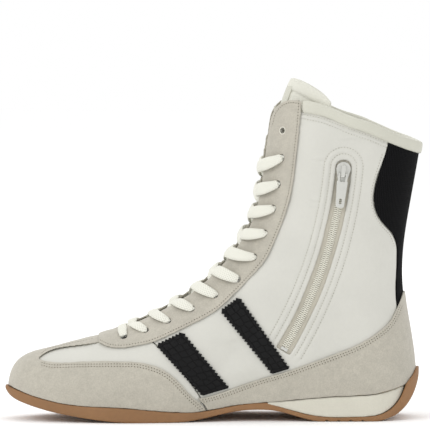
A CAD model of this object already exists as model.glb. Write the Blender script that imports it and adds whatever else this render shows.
import math

import bmesh
import bpy
import numpy as np
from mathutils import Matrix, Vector
from mathutils.bvhtree import BVHTree


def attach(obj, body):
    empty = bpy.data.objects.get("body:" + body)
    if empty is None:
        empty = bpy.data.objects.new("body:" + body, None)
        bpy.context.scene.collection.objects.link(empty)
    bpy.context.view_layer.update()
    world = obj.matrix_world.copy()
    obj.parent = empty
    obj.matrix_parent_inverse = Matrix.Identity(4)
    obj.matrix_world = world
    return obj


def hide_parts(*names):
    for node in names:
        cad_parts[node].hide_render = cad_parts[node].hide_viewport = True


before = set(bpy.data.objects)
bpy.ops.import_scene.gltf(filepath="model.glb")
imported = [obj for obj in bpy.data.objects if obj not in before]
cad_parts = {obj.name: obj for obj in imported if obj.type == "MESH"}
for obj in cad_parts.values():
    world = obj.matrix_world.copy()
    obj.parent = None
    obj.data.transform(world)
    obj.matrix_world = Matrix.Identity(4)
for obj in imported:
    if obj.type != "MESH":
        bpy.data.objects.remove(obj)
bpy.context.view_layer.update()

MM = 0.001
BODY = "boot"
SIDES = {"medial": -1, "lateral": 1}

# --- side view lines as (x, z) in millimetres, the same as in the CAD model ---
EYELETS = [(46.3, 194.6), (45.5, 176.4), (42.9, 158.9), (39.9, 142.3), (34.2, 126), (27, 110),
           (16, 95.2), (1, 84.6), (-14.5, 75.3), (-30.5, 67.2), (-45.5, 61), (-60, 56.6)]
EYESTAY_EDGE = [(-77.3, 52.7), (-70, 49.9), (-60.8, 49.5), (-51.6, 50.9), (-39.6, 53.8),
                (-19.4, 62.8), (0.7, 73.4), (9.8, 81.1), (24.1, 95.7), (34.9, 108.4),
                (41.2, 121), (46.9, 135.3), (51.5, 150.8), (54.4, 168), (56, 183), (57.7, 199),
                (58.9, 214.3)]
EYESTAY_TOP = [(58.9, 214.3), (53, 215.2), (48.1, 214.3), (43.3, 211.2), (39.8, 206),
               (38, 199.5)]
TOE_EDGE = [(-4.6, 8.6), (-14.8, 18.2), (-24, 28.3), (-33.2, 35.4), (-47, 40.1), (-60.8, 41),
            (-88.4, 40.4), (-106.8, 39.6), (-115, 40.9)]
STRIP_EDGE = [(-115.5, 43), (-110.4, 46), (-95.7, 49.6), (-81, 52.9)]
COUNTER_EDGE = [(-10.6, 15.9), (0.7, 18.2), (10.5, 21.3), (28.2, 27.6), (40, 31.2), (52.8, 35.2),
                (71.5, 41.9), (88.7, 48.4), (99.6, 53.4), (110.5, 59.9), (117, 65.1),
                (121, 70.5), (124, 77.5)]
GORE_EDGE = [(114.8, 180), (110.1, 165.4), (107.4, 154.6), (107.2, 146.5), (109.4, 138.8),
             (114.2, 131.6), (119.8, 125.2), (122.6, 118)]
COLLAR_LINE = [(59.5, 214.3), (74, 211.3), (89.3, 205), (104.6, 199.8), (117.6, 194)]
TONGUE_TOP = [(78.4, 211), (74, 215.6), (66.7, 220.4), (58.6, 224.6), (53.5, 226.6), (44, 228)]
BANDS = {"front": [(-39, 51.5), (-20.5, 60.5), (11, 22.9), (-8.2, 17.6)],
         "rear": [(4, 74.1), (17.5, 84.2), (51.6, 36), (38.6, 32.2)]}
CREASES = [[(80, 190), (88, 188.4), (97, 189.6), (104, 188)],
           [(63, 176), (70, 174.6), (78, 175.4)],
           [(60, 150), (67, 147), (74, 147.6)]]
LACE_TAIL = [(50, 165), (51.5, 152), (49, 136), (45, 124)]

# --- other measures of the CAD model, in millimetres and degrees ---
COLLAR_DROP = 6.9                                   # from the collar line to the quarter's top edge
ZIP_CENTRE, ZIP_RADIUS = (-195, 195), 283           # the arc that the zip follows
ZIP_TOP, ZIP_BOTTOM = -4.9, -31.4                   # its two ends, as turns about that centre
OVERLAY_T, BASE_T = 3.8, 2.4                        # outer faces of suede and leather over the last
MEDIAL_LEG = 33.5                                   # from the middle plane to the medial side

# --- rows of stitches, in millimetres ---
COLLAR_SEAMS, COLLAR_SWELL = (1.7, 4.6), 3.1        # below the quarter's top edge
ZIP_SEAMS, ZIP_SWELL, ZIP_LIP = (8.7, 13), 10.8, 6.7    # from the middle of the zip
# (edge, whether the piece lies to its left (1) or right (-1), distances of the rows from it)
SUEDE_SEAMS = ((TOE_EDGE, 1, (1.6, 3.2)), (COUNTER_EDGE, -1, (1.6, 3.2)), (STRIP_EDGE, 1, (1.5,)),
               (EYESTAY_EDGE, 1, (1.8,)), (EYESTAY_TOP, 1, (1.8,)))
GORE_SEAM = -1.6                                    # to the right of the gore's edge
SUEDE_THREAD, WHITE_THREAD = 0.24, 0.2              # radii of the two threads
LINE_STEP = 0.7                                     # between the points a row is sewn along

# --- how the softened pieces are remeshed: voxel size in millimetres, rounds of smoothing ---
LEATHER = {"voxel": 0.7, "rounds": 2}
SUEDE = {"voxel": 0.6, "rounds": 2}

# --- camera and lights, in metres ---
CAMERA_TARGET, CAMERA_RISE, CAMERA_AWAY = (0.0011, 0, 0.1366), math.radians(3.2), 3.225
LIGHTS = {"key": ((-1.2, -1.1, 1.25), 0.9, 7.5), "fill": ((1.1, -1.1, 0.6), 1.2, 0.6),
          "top": ((0, 0.2, 1.6), 1.4, 3), "back": ((0.2, 1.3, 0.8), 1.2, 3)}
FLOOR_HALF, FLOOR_DEPTH = 6, 0.15 * MM


def linear(r, g, b):
    """Colour for a shader from screen values of 0 to 255."""
    return tuple((v / 255)**2.2 for v in (r, g, b)) + (1,)


def camera():
    """Seen from the medial side, a little from above, through a long lens."""
    data = bpy.data.cameras.new("camera")
    data.lens, data.sensor_width = 400, 36
    eye = bpy.data.objects.new("camera", data)
    bpy.context.scene.collection.objects.link(eye)
    towards = Vector((0, -math.cos(CAMERA_RISE), math.sin(CAMERA_RISE)))
    eye.location = Vector(CAMERA_TARGET) + towards * CAMERA_AWAY
    eye.rotation_euler = (math.pi / 2 - CAMERA_RISE, 0, 0)
    bpy.context.scene.camera = eye


def area_light(name, place, size, power):
    data = bpy.data.lights.new(name, "AREA")
    data.energy, data.size = power, size
    lamp = bpy.data.objects.new(name, data)
    bpy.context.scene.collection.objects.link(lamp)
    lamp.location = place
    lamp.rotation_euler = (Vector((0, 0, 0.1)) - Vector(place)).to_track_quat("-Z", "Y").to_euler()


def studio():
    """Soft lights, a white world and a white floor just under the sole."""
    for name, (place, size, power) in LIGHTS.items():
        area_light(name, place, size, power)
    bpy.context.scene.view_settings.view_transform = "Standard"
    world = bpy.data.worlds.new("world")
    bpy.context.scene.world = world
    world.use_nodes = True
    background = world.node_tree.nodes["Background"]
    background.inputs["Color"].default_value = (1, 1, 1, 1)
    background.inputs["Strength"].default_value = 1.0
    mesh = bpy.data.meshes.new("floor")
    corners = [(-1, -1), (1, -1), (1, 1), (-1, 1)]
    mesh.from_pydata([(x * FLOOR_HALF, y * FLOOR_HALF, -FLOOR_DEPTH) for x, y in corners], [],
                     [(0, 1, 2, 3)])
    floor = bpy.data.objects.new("floor", mesh)
    bpy.context.scene.collection.objects.link(floor)
    mesh.materials.append(finish("floor", (1, 1, 1, 1), 0.95, spec=0.0))


# --- materials; sizes and depths are in millimetres ---
class Graph:
    """One procedural material and short names for the nodes it is made of."""

    def __init__(self, name):
        self.material = bpy.data.materials.new(name)
        self.material.use_nodes = True
        self.tree = self.material.node_tree
        self.shader = self.tree.nodes["Principled BSDF"]
        self.place = self.node("ShaderNodeTexCoord").outputs["Object"]

    def node(self, kind, **values):
        n = self.tree.nodes.new(kind)
        for key, value in values.items():
            setattr(n, key, value)
        return n

    def link(self, a, b):
        self.tree.links.new(a, b)

    def set(self, **values):
        """Sets or links inputs of the shader, named with _ for each space."""
        for key, value in values.items():
            socket = self.shader.inputs[key.replace("_", " ")]
            if isinstance(value, (int, float, tuple)):
                socket.default_value = value
            else:
                self.link(value, socket)

    def noise(self, size, detail=4):
        n = self.node("ShaderNodeTexNoise")
        n.inputs["Scale"].default_value = 1 / (size * MM)
        n.inputs["Detail"].default_value = detail
        self.link(self.place, n.inputs["Vector"])
        return n.outputs["Fac"]

    def cells(self, size):
        n = self.node("ShaderNodeTexVoronoi")
        n.inputs["Scale"].default_value = 1 / (size * MM)
        self.link(self.place, n.inputs["Vector"])
        return n.outputs["Distance"]

    def tiles(self, size, uneven):
        """Distance to the nearest line between squarish tiles, over the map."""
        n = self.node("ShaderNodeTexVoronoi", feature="DISTANCE_TO_EDGE", voronoi_dimensions="2D")
        n.inputs["Scale"].default_value = 1 / size
        n.inputs["Randomness"].default_value = uneven
        self.link(self.uv(), n.inputs["Vector"])
        return n.outputs["Distance"]

    def uv(self):
        return self.node("ShaderNodeTexCoord").outputs["UV"]

    def wave(self, size, direction, at=None, distort=0.0, turn=(0, 0, 0)):
        """Ribs this far apart, over the map given as at or else over the object."""
        m = self.node("ShaderNodeMapping")
        m.inputs["Rotation"].default_value = turn
        self.link(at or self.place, m.inputs["Vector"])
        n = self.node("ShaderNodeTexWave", bands_direction=direction, wave_profile="SIN")
        # a band repeats every 2 pi / (20 scale)
        n.inputs["Scale"].default_value = 2 * math.pi / (20 * size * (1 if at else MM))
        n.inputs["Distortion"].default_value = distort
        self.link(m.outputs["Vector"], n.inputs["Vector"])
        return n.outputs["Fac"]

    def maths(self, operation, a, b):
        n = self.node("ShaderNodeMath", operation=operation)
        for i, v in enumerate((a, b)):
            if isinstance(v, (int, float)):
                n.inputs[i].default_value = v
            else:
                self.link(v, n.inputs[i])
        return n.outputs[0]

    def ramp(self, factor, low, high, start=0.35, end=0.65):
        n = self.node("ShaderNodeValToRGB")
        for element, position, colour in zip(n.color_ramp.elements, (start, end), (low, high)):
            element.position, element.color = position, colour
        self.link(factor, n.inputs["Fac"])
        return n.outputs["Color"]

    def bump(self, height, strength, depth, under=None):
        n = self.node("ShaderNodeBump")
        n.inputs["Strength"].default_value = strength
        n.inputs["Distance"].default_value = depth * MM
        self.link(height, n.inputs["Height"])
        if under:
            self.link(under, n.inputs["Normal"])
        return n.outputs["Normal"]

    def mix(self, factor, a, b, blend="MIX"):
        n = self.node("ShaderNodeMix", data_type="RGBA", blend_type=blend)
        sockets = [s for s in n.inputs if s.enabled]
        for s, v in zip(sockets, (factor, a, b)):
            if isinstance(v, (int, float, tuple)):
                s.default_value = v
            else:
                self.link(v, s)
        return [o for o in n.outputs if o.enabled][0]


def shade(colour, amount):
    return tuple(max(0, min(1, c * amount)) for c in colour[:3]) + (1,)


def grey(value):
    return (min(1, value),) * 3 + (1,)


def fine(size):
    """Bump of fine noise."""
    return lambda graph: graph.noise(size, 5)


def cell(size):
    """Bump of small pebbles."""
    return lambda graph: graph.cells(size)


def ribs(size, direction):
    """Bump of straight ribs."""
    return lambda graph: graph.wave(size, direction)


ROUGH_SPREAD = 0.06


def finish(name, colour, rough, mottle=(), bumps=(), sheen=0.0, metal=0.0, coat=0.0, spec=0.5):
    """A procedural finish: mottle holds (size, amount) and bumps holds (bump, strength, depth)."""
    g = Graph(name)
    base = colour
    for size, amount in mottle:
        tone = g.ramp(g.noise(size, 3), shade((1, 1, 1), 1 - amount), (1, 1, 1, 1))
        base = g.mix(1.0, base, tone, "MULTIPLY")
    spread = g.ramp(g.noise(6, 2), grey(rough - ROUGH_SPREAD), grey(rough + ROUGH_SPREAD))
    normal = None
    for maker, strength, depth in bumps:
        normal = g.bump(maker(g), strength, depth, normal)
    if normal:
        g.set(Normal=normal)
    g.set(Base_Color=base, Roughness=spread, Metallic=metal, Specular_IOR_Level=spec,
          Sheen_Weight=sheen, Sheen_Roughness=0.6, Coat_Weight=coat)
    return g.material


def croc():
    """Black embossed leather: squarish tiles with fine sunk lines between them."""
    g = Graph("croc")
    tile = g.ramp(g.tiles(4.6, 0.45), grey(0), grey(1), 0.0, 0.09)
    tone = g.mix(g.noise(3, 2), linear(13, 13, 13), linear(20, 20, 21))
    normal = g.bump(g.noise(0.5, 3), 0.2, 0.08)
    g.set(Base_Color=g.mix(tile, linear(5, 5, 5), tone), Specular_IOR_Level=0.2,
          Roughness=g.ramp(tile, grey(0.8), grey(0.58), 0, 1),
          Normal=g.bump(tile, 0.8, 0.35, normal))
    return g.material


def ribbed(name, colour, pitch, depth, dark, spec=0.3):
    """Ribbed cloth over a map in millimetres, with the ribs running up it."""
    g = Graph(name)
    uv = g.uv()
    rib = g.wave(pitch, "X", at=uv, distort=0.4)
    loops = g.wave(pitch * 0.7, "Y", at=uv, distort=0.6)
    height = g.maths("ADD", rib, g.maths("MULTIPLY", loops, 0.3))
    normal = g.bump(g.noise(0.35, 3), 0.3, 0.08)
    g.set(Base_Color=g.ramp(height, shade(colour, dark), colour, 0.1, 0.9), Roughness=0.85,
          Specular_IOR_Level=spec, Normal=g.bump(height, 0.7, depth, normal))
    return g.material


def braid():
    """Flat woven lace: two crossing sets of strands that follow the lace's own length."""
    g = Graph("lace_braid")
    uv = g.uv()
    one = g.wave(0.9, "DIAGONAL", at=uv)
    two = g.wave(0.9, "DIAGONAL", at=uv, turn=(0, 0, math.pi / 2))
    height = g.maths("MAXIMUM", one, two)
    normal = g.bump(g.noise(0.3, 2), 0.25, 0.08)
    g.set(Base_Color=g.ramp(height, linear(200, 199, 186), linear(226, 225, 214), 0.2, 0.9),
          Roughness=0.88, Sheen_Weight=0.15, Normal=g.bump(height, 0.6, 0.22, normal))
    return g.material


def make_materials():
    return {
        "suede": finish("suede", linear(186, 181, 168), 0.95, [(24, 0.06), (4, 0.07), (0.9, 0.13)],
                        [(fine(0.45), 0.55, 0.16), (fine(5), 0.25, 0.25)], sheen=0.2, spec=0.15),
        "white": finish("white_leather", linear(201, 200, 192), 0.5, [(30, 0.04), (2, 0.015)],
                        [(cell(0.8), 0.2, 0.06), (fine(9), 0.25, 0.35)], spec=0.35),
        "gum": finish("gum_rubber", linear(143, 106, 72), 0.6, [(40, 0.14), (3, 0.06)],
                      [(fine(0.7), 0.25, 0.08)], spec=0.4),
        "foam": finish("eva_foam", linear(205, 202, 188), 0.75, [(20, 0.04), (1, 0.04)],
                       [(cell(0.6), 0.25, 0.06)]),
        "lining": finish("lining_cloth", linear(206, 204, 193), 0.92, [(10, 0.05)],
                         [(ribs(0.8, "Z"), 0.4, 0.1), (fine(0.5), 0.3, 0.08)]),
        "collar": finish("collar_cloth", linear(198, 197, 184), 0.6, [(14, 0.04), (0.6, 0.04)],
                         [(fine(0.6), 0.3, 0.08), (fine(7), 0.3, 0.4)], spec=0.45),
        "board": finish("fibre_board", linear(170, 150, 120), 0.9, [(3, 0.1)],
                        [(fine(0.8), 0.3, 0.1)]),
        "tape": finish("zip_tape", linear(192, 187, 173), 0.85, [(6, 0.05)],
                       [(ribs(0.7, "DIAGONAL"), 0.5, 0.12)]),
        "coil": finish("zip_coil", linear(222, 220, 207), 0.45, [(5, 0.05)],
                       [(fine(1), 0.1, 0.05)]),
        "metal": finish("zip_metal", linear(196, 196, 190), 0.34, [(5, 0.04)],
                        [(fine(2), 0.08, 0.05)], metal=0.35, coat=0.3),
        "thread": finish("thread", linear(188, 183, 168), 0.8, [(1, 0.1)],
                         [(fine(0.2), 0.3, 0.05)]),
        "white_thread": finish("white_thread", linear(204, 203, 192), 0.75, [(1, 0.08)],
                               [(fine(0.2), 0.3, 0.05)]),
        "hole": finish("needle_hole", linear(84, 80, 70), 0.95, [(1, 0.1)]),
        "soft_hole": finish("soft_hole", linear(164, 162, 150), 0.95, [(1, 0.1)]),
        "aglet": finish("aglet", linear(212, 211, 198), 0.3, [(4, 0.03)],
                        [(fine(2), 0.1, 0.04)]),
        "eyelet": finish("eyelet_rim", linear(206, 203, 190), 0.6, [(2, 0.05)],
                         [(fine(0.4), 0.3, 0.08)]),
        "croc": croc(),
        "gore": ribbed("black_elastic", linear(27, 27, 28), 1.9, 0.6, 0.25, 0.08),
        "knit": ribbed("tongue_knit", linear(222, 221, 209), 1.05, 0.22, 0.86),
        "braid": braid(),
    }


# --- meshes; every measure is in millimetres unless it says otherwise ---
def mesh_of(name, points, faces):
    mesh = bpy.data.meshes.new(name)
    mesh.from_pydata([tuple(np.array(p) * MM) for p in points], [], faces)
    return mesh


def new_object(name, mesh, material, replaced=(), body=BODY):
    """A finished piece: smooth, in its material, riding its body, in place of CAD nodes."""
    o = bpy.data.objects.new(name, mesh)
    bpy.context.scene.collection.objects.link(o)
    mesh.materials.clear()
    mesh.materials.append(material)
    mesh.polygons.foreach_set("use_smooth", [True] * len(mesh.polygons))
    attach(o, body)
    if replaced:
        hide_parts(*replaced)
    return o


def welded(nodes, lip=0):
    """One mesh of copies of these CAD nodes, with their split corners joined.

    lip thickens what is behind the heel by a copy this far further out."""
    behind_heel = 0.12                              # metres
    bm = bmesh.new()
    for n in nodes:
        bm.from_mesh(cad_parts[n].data)
    if lip:
        copies = bmesh.ops.duplicate(bm, geom=bm.verts[:] + bm.edges[:] + bm.faces[:])["geom"]
        for v in copies:
            if isinstance(v, bmesh.types.BMVert) and v.co.x > behind_heel:
                v.co.x += lip * MM
    bmesh.ops.remove_doubles(bm, verts=bm.verts, dist=1e-6)
    mesh = bpy.data.meshes.new("welded")
    bm.to_mesh(mesh)
    bm.free()
    return mesh


def face_outwards(mesh):
    bm = bmesh.new()
    bm.from_mesh(mesh)
    bmesh.ops.recalc_face_normals(bm, faces=bm.faces)
    bm.to_mesh(mesh)
    bm.free()


def baked(mesh, modifiers):
    """The mesh after these modifiers, each (type, settings)."""
    o = bpy.data.objects.new("work", mesh)
    bpy.context.scene.collection.objects.link(o)
    for kind, settings in modifiers:
        m = o.modifiers.new(kind.lower(), kind)
        for key, value in settings.items():
            setattr(m, key, value)
    graph = bpy.context.evaluated_depsgraph_get()
    graph.update()
    result = bpy.data.meshes.new_from_object(o.evaluated_get(graph))
    bpy.data.objects.remove(o)
    return result


def set_map(mesh, places):
    """Gives a mesh a map from one place for each of its points."""
    index = np.empty(len(mesh.loops), int)
    mesh.loops.foreach_get("vertex_index", index)
    layer = mesh.uv_layers.new(name="UVMap")
    layer.data.foreach_set("uv", np.array(places, float)[index].ravel())


def read(mesh, what):
    """Places ("co") or normals ("normal") of a mesh's points, in Blender's units."""
    values = np.empty(len(mesh.vertices) * 3)
    mesh.vertices.foreach_get(what, values)
    return values.reshape(-1, 3)


def softened(name, nodes, material, slot, voxel, rounds, shape=None, body=BODY, lip=0):
    """Replaces CAD nodes by one even, round-edged mesh; shape moves its points by hand."""
    mesh = baked(welded(nodes, lip), [("REMESH", {"mode": "VOXEL", "voxel_size": voxel * MM}),
                                      ("SMOOTH", {"factor": 0.5, "iterations": rounds})])
    if shape:
        moved = shape(read(mesh, "co") / MM, read(mesh, "normal"))
        mesh.vertices.foreach_set("co", (moved * MM).ravel())
        mesh.update()
    return new_object(name, mesh, material, nodes, body)


def slab_faces(rows, columns):
    """Faces of a closed slab between two grids of points, the outer grid first."""
    total, faces = rows * columns, []
    for i in range(rows - 1):
        for j in range(columns - 1):
            a, b = i * columns + j, (i + 1) * columns + j
            faces.append([a, a + 1, b + 1, b])
            faces.append([total + k for k in (b, b + 1, a + 1, a)])
    rim = [i * columns for i in range(rows)]
    rim += [(rows - 1) * columns + j for j in range(1, columns)]
    rim += [i * columns + columns - 1 for i in range(rows - 2, -1, -1)]
    rim += range(columns - 2, 0, -1)
    for k, n in zip(rim, rim[1:] + rim[:1]):
        faces.append([k, n, total + n, total + k])
    return faces


def tree_of(*objects):
    verts, faces = [], []
    for o in objects:
        base = len(verts)
        verts += [v.co.copy() for v in o.data.vertices]
        faces += [[base + i for i in p.vertices] for p in o.data.polygons]
    return BVHTree.FromPolygons(verts, faces)


def spline(points, step=0.5):
    """Even points along a smooth line through these ones."""
    p = np.array(points, float)
    p = np.vstack([2 * p[0] - p[1], p, 2 * p[-1] - p[-2]])
    out = []
    for a, b, c, d in zip(p, p[1:], p[2:], p[3:]):
        n = max(2, int(np.linalg.norm(c - b) / step))
        t = np.linspace(0, 1, n, endpoint=False)[:, None]
        out.append(b + 0.5 * t * ((c - a) + t * ((2 * a - 5 * b + 4 * c - d)
                                                 + t * (3 * (b - c) + d - a))))
    return np.vstack(out + [p[-2:-1]])


def resampled(values, count):
    """Rows of three numbers spread evenly over this many rows."""
    values = np.array(values)
    old, new = np.linspace(0, 1, len(values)), np.linspace(0, 1, count)
    return np.array([np.interp(new, old, values[:, i]) for i in range(3)]).T


def run_along(path):
    """Length of a path up to each of its points."""
    return np.r_[0, np.cumsum(np.linalg.norm(np.diff(path, axis=0), axis=1))]


def offset(line, distance):
    """A flat line moved to its left by distance."""
    d = np.gradient(line, axis=0)
    d /= np.linalg.norm(d, axis=1)[:, None]
    return line + distance * np.c_[-d[:, 1], d[:, 0]]


def on_skin(tree, side, x, z):
    """Point and outward normal where a side view ray meets the skin."""
    start = Vector((x, side * 200, z)) * MM
    hit, normal, _, _ = tree.ray_cast(start, Vector((0, -side, 0)), 0.2)
    if hit is None:
        return None
    if normal.y * side < 0:
        normal = -normal
    return np.array(hit) / MM, np.array(normal)


def eyelet_face(tree, side, x, z):
    """Mean point and normal of the skin around an eyelet."""
    reach = 3.4
    found = [on_skin(tree, side, x + reach * math.cos(a), z + reach * math.sin(a))
             for a in np.arange(0, 2 * math.pi, math.pi / 4)]
    found = [f for f in found if f is not None]
    return np.mean([f[0] for f in found], 0), np.mean([f[1] for f in found], 0)


def noise_field(co, size, seed):
    """Smooth sum of sines, even in all directions, about -1 to 1."""
    rng = np.random.default_rng(seed)
    out = np.zeros(len(co))
    for _ in range(9):
        k = rng.normal(size=3)
        k *= 2 * math.pi / size / np.linalg.norm(k)
        out += np.sin(co @ k + rng.uniform(0, 6.3))
    return out / 4


def zip_distance(co):
    return np.hypot(co[:, 0] - ZIP_CENTRE[0], co[:, 2] - ZIP_CENTRE[1]) - ZIP_RADIUS


def zip_turn(co):
    return np.degrees(np.arctan2(co[:, 2] - ZIP_CENTRE[1], co[:, 0] - ZIP_CENTRE[0]))


def zip_place(radius, turn):
    """Side view place at this radius and turn, in radians, about the zip's centre."""
    return ZIP_CENTRE[0] + radius * math.cos(turn), ZIP_CENTRE[1] + radius * math.sin(turn)


def dip(d, width):
    return np.exp(-(d / width)**2)


def step_up(value, start, width):
    """0 below start, rising to 1 over this width."""
    return np.clip((value - start) / width, 0, 1)


# --- shapes given by hand to the softened pieces ---
def near(co, line):
    """Distance of points from a side view line, and how far from its ends."""
    line = spline(line, 1)
    d = np.hypot(co[:, None, 0] - line[None, :, 0], co[:, None, 2] - line[None, :, 1])
    k = d.argmin(axis=1)
    return d.min(axis=1), np.minimum(k, len(line) - 1 - k)


def quarter_shape(medial):
    """Side panel: uneven leather, sunk seams, creases, and a channel round the zip."""
    collar = spline(COLLAR_LINE, 1)
    corner_x, corner_z, corner_reach, corner_pull = 39, 211, 12, 4.5

    def collar_seams(co):
        edge = np.interp(co[:, 0], collar[:, 0], collar[:, 1]) - COLLAR_DROP
        below = edge - co[:, 2]
        lift = 0.35 * dip(below - COLLAR_SWELL, 0.8)
        for seam in COLLAR_SEAMS:
            lift -= 0.4 * dip(below - seam, 0.7)
        return lift * (co[:, 0] > 58)

    def zip_channel(co):
        above = np.clip(zip_turn(co) - ZIP_TOP, 0, 9) * math.radians(ZIP_RADIUS)
        d = np.hypot(zip_distance(co), above)
        lift = 0.55 * dip(d - ZIP_SWELL, 1.6) + 0.3 * dip(d - ZIP_LIP, 1.2)
        for seam in ZIP_SEAMS:
            lift -= 0.35 * dip(d - seam, 0.6)
        return lift * step_up(zip_turn(co), ZIP_BOTTOM - 0.5, 1) * (co[:, 1] < 0)

    def shape(co, no):
        outward = no[:, 1] * np.sign(co[:, 1])
        lift = 0.3 * noise_field(co, 34, 3) + 0.1 * noise_field(co, 11, 5) + collar_seams(co)
        shaft = np.flatnonzero((outward > 0.2) & (co[:, 0] > 55))
        for crease in CREASES:
            d, inside = near(co[shaft], crease)
            lift[shaft] += 0.4 * step_up(inside, 0, 6) * (dip(d - 1.6, 1.3) - dip(d, 1.2))
        if medial:
            lift += zip_channel(co)
        co = co + no * (lift * (outward > -0.2))[:, None]
        # the top front corner is drawn back under the eyestay
        away = np.hypot(co[:, 0] - corner_x, co[:, 2] - corner_z)
        corner = corner_pull * np.clip(1 - away / corner_reach, 0, 1)
        co[:, 0] += corner
        co[:, 2] -= corner
        return co
    return shape


def heel_drop(co, middle, side):
    """How far a top edge behind the heel comes down: on the middle line, and more to the side."""
    half = 13
    return middle + side * np.clip(np.abs(co[:, 1]) / half, 0, 1)**2


def suede_shape(co, no):
    """Uneven suede, a swollen tip of the eyestay and a rounded top of the heel counter."""
    lift = 0.1 * noise_field(co, 16, 11) + 0.05 * noise_field(co, 5, 12)
    tip_x, tip_z, heel_x, heel_z = -73, 55, 112, 74
    tip = np.hypot(co[:, 0] - tip_x, co[:, 2] - tip_z)
    lift += 0.6 * dip(tip, 5) * (no[:, 2] > 0.1)
    co = co + no * lift[:, None]
    co[:, 2] -= step_up(co[:, 2], heel_z, 12) * (co[:, 0] > heel_x) * heel_drop(co, 1.4, 1.8)
    return co


def toe_shape(co, no):
    """The strip on top runs on under the eyestay's tip."""
    co = suede_shape(co, no)
    far = step_up(co[:, 0], -86, 8) * (co[:, 2] > 46) * (co[:, 0] < -70)
    co[:, 0] += 3.2 * far**2
    co[:, 2] -= 0.5 * far**2
    return co


def wedge_shape(co, no):
    """Swollen to meet its neighbours, with its front drawn out to a point."""
    co = co + no * 0.22
    co[:, 0] -= 4.5 * step_up(-co[:, 0], -58, 17)**2
    return co


def sole_shape(co, no):
    """Bumper standing out at the toe, and a lip with a rounded top at the heel."""
    co[:, 0] -= 1.8 * step_up(-co[:, 0], 126, 12)**1.5
    back = step_up(co[:, 2], 26, 9) * (co[:, 0] > 118)
    co[:, 2] -= back * heel_drop(co, 1.5, 1.6)
    co[:, 0] -= 0.5 * back
    return co


def tongue_shape(co, no):
    """Soft pad with a rolled rim along its top edge and a seam below it."""
    rim, rim_half, seam = 2.6, 3, 6.2
    lift = 0.2 + 0.2 * noise_field(co, 26, 21)
    high = co[:, 2] > 190
    d, _ = near(co[high], TONGUE_TOP)
    lift[high] += 0.7 * np.sqrt(np.clip(1 - ((d - rim) / rim_half)**2, 0, 1))
    lift[high] -= 0.35 * dip(d - seam, 0.9)
    return co + no * lift[:, None]


def collar_shape(co, no):
    """Puffed up, a little unevenly."""
    return co + no * (0.7 + 0.25 * noise_field(co, 22, 21))[:, None]


# --- black bands and the tape inside the heel ---
def zigzag(i, steps):
    return abs(2 * (i % steps) / steps - 1)


def pinked_grid(corners):
    """Grid of side view places with zigzag edges, its map, and its rows and columns."""
    pitch, tooth, steps = 2.8, 1.35, 6
    a, b, c, d = [np.array(p) for p in corners]
    length = np.linalg.norm((d + c - a - b) / 2)
    across = steps * round(np.linalg.norm(b - a) / pitch)
    along = steps * round(length / pitch)
    spots, place = [], []
    for i in range(along + 1):
        bite = tooth * zigzag(i, steps)
        for j in range(across + 1):
            v = i / along
            v += (1 - v) * tooth * zigzag(j, steps) / length
            left, right = a + (d - a) * v, b + (c - b) * v
            span = np.linalg.norm(right - left)
            u = (bite + (span - 2 * bite) * j / across) / span
            spots.append(left + (right - left) * u)
            place.append((u * span, v * length))
    return spots, place, along + 1, across + 1


def steadied(grid, reach=4):
    """Median of each value's neighbours in a grid, with gaps left out."""
    margins = [(reach, reach), (reach, reach), (0, 0)]
    padded = np.pad(grid, margins, mode="edge")
    window = (2 * reach + 1, 2 * reach + 1)
    around = np.lib.stride_tricks.sliding_window_view(padded, window, axis=(0, 1))
    return np.nanmedian(around, axis=(3, 4))


def pinked_band(name, corners, side, tree, material, node):
    """Black band with zigzag edges, laid on the quarter and given its thickness."""
    spots, place, rows, columns = pinked_grid(corners)
    found = [on_skin(tree, side, x, z) for x, z in spots]
    deep = np.array([f[0][1] if f else np.nan for f in found]).reshape(rows, columns, 1)
    out = np.array([f[1] if f else (0, side, 0) for f in found]).reshape(rows, columns, 3)
    deep, out = steadied(deep).ravel(), steadied(out).reshape(-1, 3)
    laid = np.array([(x, y, z) for (x, z), y in zip(spots, deep)])
    points = np.vstack([laid + out * (OVERLAY_T - BASE_T), laid + out * 0.1])
    mesh = mesh_of(name, points, slab_faces(rows, columns))
    face_outwards(mesh)
    set_map(mesh, place + place)
    new_object(name, mesh, material, [node])
    mesh.set_sharp_from_angle(angle=math.radians(50))


def seam_tape(tree, material):
    """Tape over the seam of the two linings, down the inside of the back."""
    rows, columns, thick, half, seam = 40, 7, 0.5, 5, 1.2
    points = []
    for depth in (0.1, thick):
        for z in np.linspace(33, 183, rows):
            for y in np.linspace(-half, half, columns):
                beside = y if abs(y) > seam else math.copysign(seam, y or 1)
                hit, _, _, _ = tree.ray_cast(Vector((85, beside, z)) * MM, Vector((1, 0, 0)), 0.1)
                reach = hit.x / MM if hit else points[-columns][0] + depth
                points.append((reach - depth, y, z))
    mesh = mesh_of("seam_tape", points, slab_faces(rows, columns))
    new_object("seam_tape", mesh, material)


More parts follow.
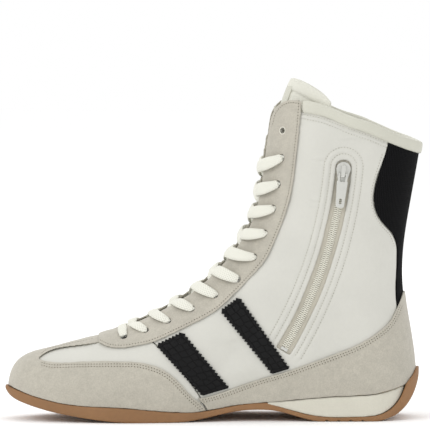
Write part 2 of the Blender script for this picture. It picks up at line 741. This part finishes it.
# --- stitches and teeth ---
class Beads:
    """Many small round-ended beads in one mesh: stitches, needle holes or zip teeth."""

    RINGS, SIDES = 4, 6

    def __init__(self):
        self.verts, self.faces = [], []

    def add(self, centre, along, out, half, wide, tall):
        """half, wide and tall are its reaches along it, across it and outwards."""
        base, across = len(self.verts), np.cross(out, along)
        for i in range(1, self.RINGS):
            angle = math.pi * i / self.RINGS
            for j in range(self.SIDES):
                turn = 2 * math.pi * j / self.SIDES
                round_it = across * wide * math.cos(turn) + out * tall * math.sin(turn)
                self.verts.append(centre - along * half * math.cos(angle)
                                  + math.sin(angle) * round_it)
        self.verts += [centre - along * half, centre + along * half]
        last, end = base + (self.RINGS - 2) * self.SIDES, len(self.verts) - 2
        for j in range(self.SIDES):
            k = (j + 1) % self.SIDES
            for row in range(base, last, self.SIDES):
                self.faces.append([row + j, row + k, row + self.SIDES + k, row + self.SIDES + j])
            self.faces.append([end, base + k, base + j])
            self.faces.append([end + 1, last + j, last + k])

    def build(self, name, material, slot, replaced=()):
        new_object(name, mesh_of(name, self.verts, self.faces), material, replaced)


class Sewing:
    """Rows of stitches, and the needle holes between them."""

    HALF, PITCH = 0.675, 1.95
    HOLE_HALF, HOLE_TALL = 0.36, 0.12

    def __init__(self, tree, radius):
        self.tree, self.radius = tree, radius
        self.stitches, self.holes = Beads(), Beads()

    def row(self, line, sides=(-1, 1)):
        for side in sides:
            found = [on_skin(self.tree, side, x, z) for x, z in line]
            found = [f for f in found if f is not None]
            if len(found) > 2:
                self.sew(np.array([f[0] for f in found]), np.array([f[1] for f in found]))

    def sew(self, points, normals):
        """Stitches along these points, apart from any that lie beyond a jump."""
        jump, ahead = 4, 0.6
        keep = np.r_[True, np.linalg.norm(np.diff(points, axis=0), axis=1) < jump]
        points, normals = points[keep], normals[keep]
        run = run_along(points)

        def at(s, values):
            return np.array([np.interp(s, run, values[:, i]) for i in range(3)])

        for s in np.arange(self.PITCH / 2, run[-1], self.PITCH):
            here, out = at(s, points), at(s, normals)
            along = at(s + ahead, points) - here
            if np.linalg.norm(along) < 1e-3:
                continue
            along /= np.linalg.norm(along)
            out -= along * (out @ along)
            out /= np.linalg.norm(out)
            self.stitches.add(here + out * 0.02, along, out, self.HALF, self.radius, self.radius)
            self.holes.add(here + along * self.PITCH / 2, along, out, self.HOLE_HALF,
                           self.HOLE_HALF, self.HOLE_TALL)

    def build(self, name, thread, hole):
        self.stitches.build(f"{name}_stitches", thread, "lace")
        self.holes.build(f"{name}_holes", hole, "lace")


def zip_row(distance):
    """Line round the zip at this distance from its middle, arched over the top."""
    turns = np.radians(np.linspace(ZIP_BOTTOM + 0.6, ZIP_TOP, 120))
    top = turns[-1]
    x, z = zip_place(ZIP_RADIUS, top)
    line = [zip_place(ZIP_RADIUS - distance, a) for a in turns]
    line += [(x + distance * math.cos(b + top), z + distance * math.sin(b + top))
             for b in np.linspace(math.pi, 0, 40)[1:-1]]
    line += [zip_place(ZIP_RADIUS + distance, a) for a in turns[::-1]]
    return line


def zip_teeth(side, material, node):
    """One side of the closed coil."""
    spacing, reach, depth = 1.3, 1.15, 1.45
    half, wide, tall = 1.75, 0.5, 0.6
    teeth = Beads()
    pitch = math.degrees(spacing / ZIP_RADIUS)
    for i in range(int((ZIP_TOP - ZIP_BOTTOM - 0.8) / pitch)):
        turn = math.radians(ZIP_TOP - 0.5 - (i + 0.5 * (side > 0)) * pitch)
        x, z = zip_place(ZIP_RADIUS + side * reach, turn)
        radial = np.array([math.cos(turn), 0, math.sin(turn)])
        teeth.add(np.array([x, -(MEDIAL_LEG + depth), z]), radial, np.array([0, -1.0, 0]),
                  half, wide, tall)
    teeth.build(f"{node}_teeth", material, "zip_coil", [node])


def eyelet_rim(name, side, tree, material):
    """Small pressed ring round the empty top hole."""
    ring, sides, big, small = 28, 8, 2.35, 0.42
    centre, out = eyelet_face(tree, side, *EYELETS[0])
    turn = Vector(out).to_track_quat("Z", "Y").to_matrix()
    points, faces = [], []
    for i in range(ring):
        a = 2 * math.pi * i / ring
        for j in range(sides):
            b = 2 * math.pi * j / sides
            r = big + small * math.cos(b)
            p = turn @ Vector((r * math.cos(a), r * math.sin(a), small * 0.6 * math.sin(b)))
            points.append(centre + out * 0.05 + np.array(p))
            k, next_ring = (j + 1) % sides, (i + 1) % ring * sides
            faces.append([i * sides + j, i * sides + k, next_ring + k, next_ring + j])
    mesh = mesh_of(name, points, faces)
    face_outwards(mesh)
    new_object(name, mesh, material)


# --- laces ---
class Lacing:
    """The laces: straps that cross over the tongue from eyelet to eyelet, and two tucked tails.

    A place on a strap is u, which is -1 and 1 at the eyelets and 0 in the middle, a level, which
    is the number of its eyelet counted from the top, and a height above the lining."""

    WIDTH, THICK, SECTION = 8.3, 2.8, 16
    TAIL_WIDTH, TAIL_THICK = 5.0, 1.6
    BAR_HEIGHT = 5.2
    OVER = [(-0.75, -1.5), (-0.55, -1.4), (-0.4, -0.6), (-0.2, 2.2), (0, 3.2), (0.2, 4.0),
            (0.4, 5.1), (0.6, 5.3), (0.8, 5.2), (0.95, 4.7)]
    UNDER = [(-0.75, -1.5), (-0.55, -1.4), (-0.4, -1.1), (-0.2, -0.4), (0, 0.8), (0.2, 2.2),
             (0.4, 4.7), (0.6, 5.3), (0.8, 5.2), (0.95, 4.7)]

    def __init__(self, skin, tongue):
        self.skin, self.tongue = skin, tongue
        self.hole = {side: [self.rim(side, *e) for e in EYELETS] for side in (-1, 1)}
        self.middle = [self.centre(k) for k in range(len(EYELETS))]
        self.verts, self.faces, self.uvs = [], [], []
        self.random = np.random.default_rng(7)

    def rim(self, side, x, z):
        p, n = eyelet_face(self.skin, side, x, z)
        return p, n / np.linalg.norm(n)

    def centre(self, k):
        """Place and direction above the tongue, halfway between the two eyelets k."""
        start_height, no_hit = 60, 12
        clear, lower = 3, 0.13                      # height over the tongue, less per level
        low, high = EYELETS[min(k + 1, len(EYELETS) - 1)], EYELETS[max(k - 1, 0)]
        t = np.array([high[0] - low[0], high[1] - low[1]])
        t /= np.linalg.norm(t)
        out = np.array([-t[1], 0, t[0]])
        x, z = EYELETS[k]
        y = (self.hole[-1][k][0][1] + self.hole[1][k][0][1]) / 2
        start = np.array([x, y, z]) + out * start_height
        hit, _, _, _ = self.tongue.ray_cast(Vector(start) * MM, Vector(-out), 0.1)
        p = np.array(hit) / MM if hit else start - out * (start_height - no_hit)
        return p + out * (clear - lower * k), out

    def at(self, level, values):
        """Place and direction between two levels."""
        k = min(int(level), len(values) - 2)
        f = level - k
        return [values[k][i] * (1 - f) + values[k + 1][i] * f for i in range(2)]

    def point(self, u, level, height):
        """Where a place on a strap is, and which way is up there."""
        c, c_out = self.at(level, self.middle)
        h, h_out = self.at(level, self.hole[-1 if u < 0 else 1])
        c, h = c + c_out * height, h + h_out * (height - OVERLAY_T)
        bend = 1 - math.cos(abs(u) * math.pi / 2)
        reach = math.sin(abs(u) * math.pi / 2)
        p = c + (h - c) * bend
        p[1] = c[1] + (h[1] - c[1]) * reach
        out = c_out * (1 - bend) + h_out * bend
        return p, out / np.linalg.norm(out)

    def plunge(self, side, level):
        """The way down through an eyelet."""
        p, out = self.hole[side][level]
        return [(p + out * d, out) for d in (0.7, -0.6, -2.4)]

    def strap(self, stations, level, direction, wobble, both=False):
        """Crossing strap that ends in one eyelet, or with both a straight bar between two."""
        low = np.clip((level - 6) / 5, 0, 1)        # the straps are flatter and narrower low down
        route = self.plunge(-direction, level)[::-1] if both else []
        for u, height in stations:
            here = level
            if not both:
                # it rises over the strap it crosses and comes from the eyelet one level down
                height += 2.8 * math.sqrt(low) * math.exp(-((u - 0.1) / 0.17)**2)
                here += (1 - u**1.8 if u > 0 else 1 + abs(u)**0.75) / 2
            height = height * (1 - 0.12 * low) + wobble * math.cos(u * 2.2)
            route.append(self.point(direction * u, here, height))
        route += self.plunge(direction, level)
        path = spline([p for p, _ in route], 1.0)
        s = np.linspace(0, 1, len(path))
        end = np.clip((1 - s) / 0.3, 0, 1)          # 0 where it goes into an eyelet
        if both:
            end = np.minimum(end, np.clip(s / 0.3, 0, 1))
        width = self.WIDTH * (1 - 0.22 * low) * (0.46 + 0.54 * np.sin(end * math.pi / 2))
        width += 0.25 * np.sin(s * 9 + wobble * 7)
        thick = self.THICK * (1 - 0.2 * low) * (1.12 - 0.12 * end)
        self.cord(path, resampled(spline([out for _, out in route]), len(path)), width, thick)

    def tail(self, side):
        """Loose end, tucked inside between the lining and the tongue."""
        p, n = self.hole[side][1]
        path, up = [p - n * 4.6], [n]
        for x, z in LACE_TAIL:
            p, n = on_skin(self.skin, side, x, z)
            path.append(p - n * (OVERLAY_T + 1.7))
            up.append(n)
        path = spline(path, 1.5)
        n = len(path)
        self.cord(path, resampled(up, n), np.full(n, self.TAIL_WIDTH), np.full(n, self.TAIL_THICK))

    def cord(self, path, up, width, thick):
        """Adds a flat, full lace along path; width and thick are given at each point."""
        along = np.gradient(path, axis=0)
        along /= np.linalg.norm(along, axis=1)[:, None]
        out = np.cross(along, up)
        out /= np.linalg.norm(out, axis=1)[:, None]
        up = np.cross(out, along)
        run = run_along(path)
        base, n, sides = len(self.verts), len(path), self.SECTION
        for i in range(n):
            for j in range(sides):
                turn = 2 * math.pi * j / sides
                c, s = math.cos(turn), math.sin(turn)
                flat = math.copysign(abs(c)**0.8, c) * width[i] / 2
                self.verts.append(path[i] + out[i] * flat + up[i] * thick[i] / 2 * s)
                self.uvs.append((run[i], flat + (6 if s < 0 else 0)))
        for start in range(base, base + (n - 1) * sides, sides):
            for j in range(sides):
                k = (j + 1) % sides
                self.faces.append([start + j, start + sides + j, start + sides + k, start + k])
        self.faces.append([base + j for j in range(sides)])
        self.faces.append([base + (n - 1) * sides + j for j in reversed(range(sides))])

    def build(self, material):
        bottom = len(EYELETS) - 1
        bar = [(u, self.BAR_HEIGHT + 0.25 * (1 - u * u)) for u in np.linspace(-0.95, 0.95, 9)]
        self.strap(bar, bottom, 1, 0.1, both=True)
        for level in range(1, bottom):
            for direction in (-1, 1):
                over = (direction > 0) == (level % 2 == 0)
                self.strap(self.OVER if over else self.UNDER, level, direction,
                           float(self.random.uniform(-0.15, 0.35)))
        for side in (-1, 1):
            self.tail(side)
        mesh = mesh_of("laces", self.verts, self.faces)
        set_map(mesh, self.uvs)
        new_object("laces", mesh, material, ["lace"])


# --- the boot ---
camera()
M = make_materials()
studio()

base = {"vamp": softened("vamp_skin", ["vamp"], M["white"], "white_leather", **LEATHER)}
for name in SIDES:
    base[name] = softened(f"quarter_{name}_skin", [f"quarter_{name}"], M["white"],
                          "white_leather", **LEATHER, shape=quarter_shape(name == "medial"))
gore = softened("gore_skin", ["heel_gore"], M["gore"], "black_elastic", **LEATHER)
co = read(gore.data, "co") / MM
set_map(gore.data, np.c_[co[:, 0] - np.abs(co[:, 1]), co[:, 2]])
suede = [softened(f"{node}_skin", [node], M["suede"], "suede", **SUEDE, shape=shape)
         for node, shape in (("toe_guard", toe_shape), ("eyestay", suede_shape),
                             ("heel_counter", suede_shape))]
collar = softened("collar_skin", ["collar_pad"], M["collar"], "collar_cloth", voxel=0.8, rounds=9,
                  shape=collar_shape)
tongue = softened("tongue_skin", ["tongue_lining", "tongue_padding", "tongue_face"], M["knit"],
                  "tongue_knit", voxel=0.9, rounds=6, shape=tongue_shape)
co = read(tongue.data, "co") / MM
set_map(tongue.data, np.c_[co[:, 0] - 0.2 * co[:, 2] + np.abs(co[:, 1]), co[:, 2]])
for side, name in ((-1, "front"), (1, "rear")):
    zip_teeth(side, M["coil"], f"zip_coil_{name}")
softened("outsole_skin", ["outsole"], M["gum"], "gum_rubber", **LEATHER, shape=sole_shape, lip=0.8)
softened("wedge_skin", ["midsole_wedge"], M["foam"], "eva_foam", **LEATHER, shape=wedge_shape)
for body, voxel in (("slider", 0.22), ("pull", 0.2)):
    softened(f"{body}_skin", [f"zip_{body}"], M["metal"], "zip_metal", voxel, rounds=2, body=body)

# CAD pieces that are kept as they are, in these materials
KEPT = {"insole_board": "board", "footbed": "lining", "heel_stiffener": "board",
        "toe_puff": "white", "vamp_lining": "lining", "lining_medial": "lining",
        "lining_lateral": "lining", "tongue_label": "collar", "zip_tape_front": "tape",
        "zip_tape_rear": "tape", "zip_stops": "metal", "zip_guard": "lining",
        "lace_aglets": "aglet"}
for node, name in KEPT.items():
    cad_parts[node].data.materials.clear()
    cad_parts[node].data.materials.append(M[name])

base_tree = tree_of(*base.values(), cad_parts["heel_stiffener"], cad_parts["toe_puff"])
for name, corners in BANDS.items():
    for word, side in SIDES.items():
        pinked_band(f"band_{word}_{name}_skin", corners, side, base_tree, M["croc"],
                    f"band_{word}_{name}")

seam_tape(tree_of(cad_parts["lining_medial"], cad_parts["lining_lateral"]), M["lining"])

suede_tree = tree_of(*suede)
sewing = Sewing(suede_tree, SUEDE_THREAD)
for edge, inward, gaps in SUEDE_SEAMS:
    for gap in gaps:
        sewing.row(offset(spline(edge, LINE_STEP), inward * gap))
sewing.build("suede", M["thread"], M["hole"])

sewing = Sewing(tree_of(base["medial"], base["lateral"]), WHITE_THREAD)
for distance in ZIP_SEAMS:
    sewing.row(zip_row(distance), sides=(SIDES["medial"],))
for seam in COLLAR_SEAMS:
    sewing.row(spline([(x, z - COLLAR_DROP - seam) for x, z in COLLAR_LINE], LINE_STEP))
sewing.row(offset(spline(GORE_EDGE, LINE_STEP), GORE_SEAM))
sewing.build("white", M["white_thread"], M["soft_hole"])

for name, side in SIDES.items():
    eyelet_rim(f"eyelet_rim_{name}", side, suede_tree, M["eyelet"])
Lacing(tree_of(*suede, *base.values()), tree_of(tongue)).build(M["braid"])
